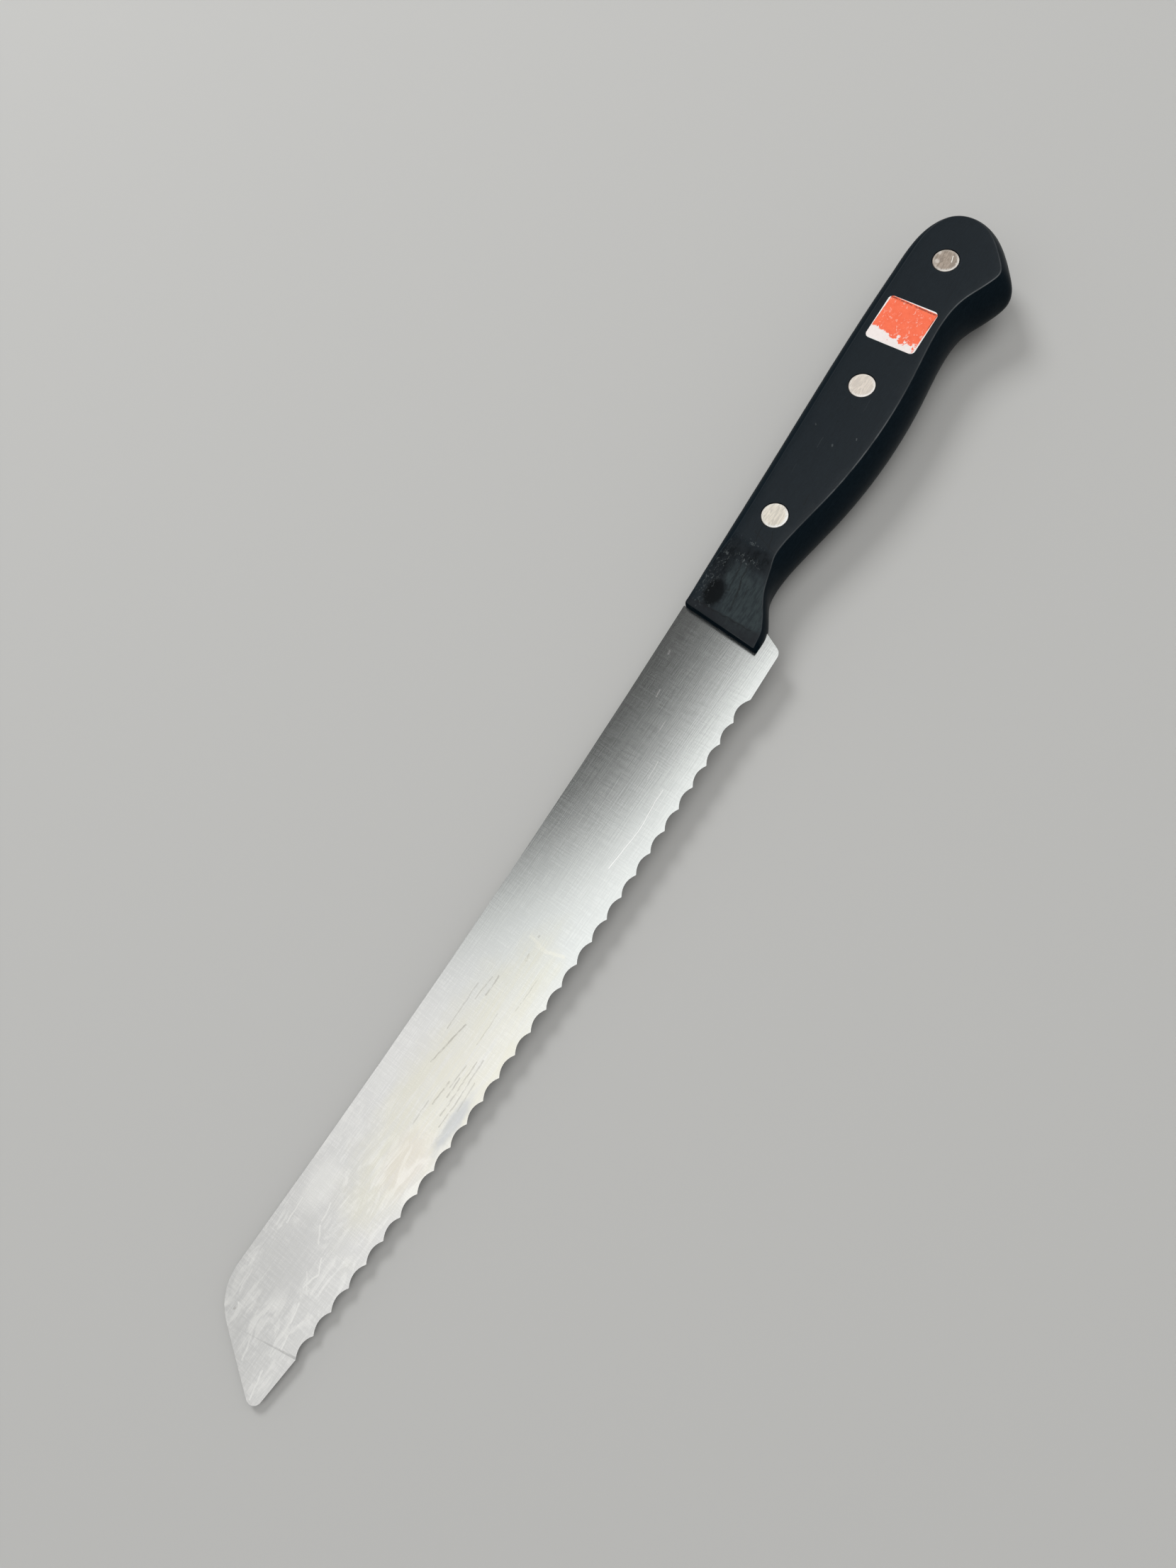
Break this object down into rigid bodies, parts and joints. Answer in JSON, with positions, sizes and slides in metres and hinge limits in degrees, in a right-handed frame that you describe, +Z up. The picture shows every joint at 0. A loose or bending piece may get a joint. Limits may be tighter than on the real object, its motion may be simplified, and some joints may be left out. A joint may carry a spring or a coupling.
{
  "type": "bread knife",
  "caption": "Bread knife: straight steel blade with shallow scalloped serrations and a clipped tip, black riveted plastic handle with a hooked butt, lying on its right side.",
  "frame": {"origin": "under the middle of the knife's bounding box, on the surface that its right side lies on", "axes": "+X from the handle to the tip, +Y from the spine to the edge, +Z up through the thickness, from the right side of the knife to its left side"},
  "size_m": [0.3236, 0.0336, 0.0153],
  "materials": {
    "blade_steel": "satin, fine brushed",
    "handle_plastic": "matte black, lightly worn",
    "rivet_metal": "ground flush, brushed",
    "label_film": "printed film, worn"
  },
  "bodies": {
    "root": {"blade": "blade_steel", "left_scale": "handle_plastic", "right_scale": "handle_plastic", "front_rivet_socket": "rivet_metal", "front_rivet_stem": "rivet_metal", "middle_rivet_socket": "rivet_metal", "middle_rivet_stem": "rivet_metal", "rear_rivet_socket": "rivet_metal", "rear_rivet_stem": "rivet_metal", "label": "label_film"}
  },
  "joints": []
}
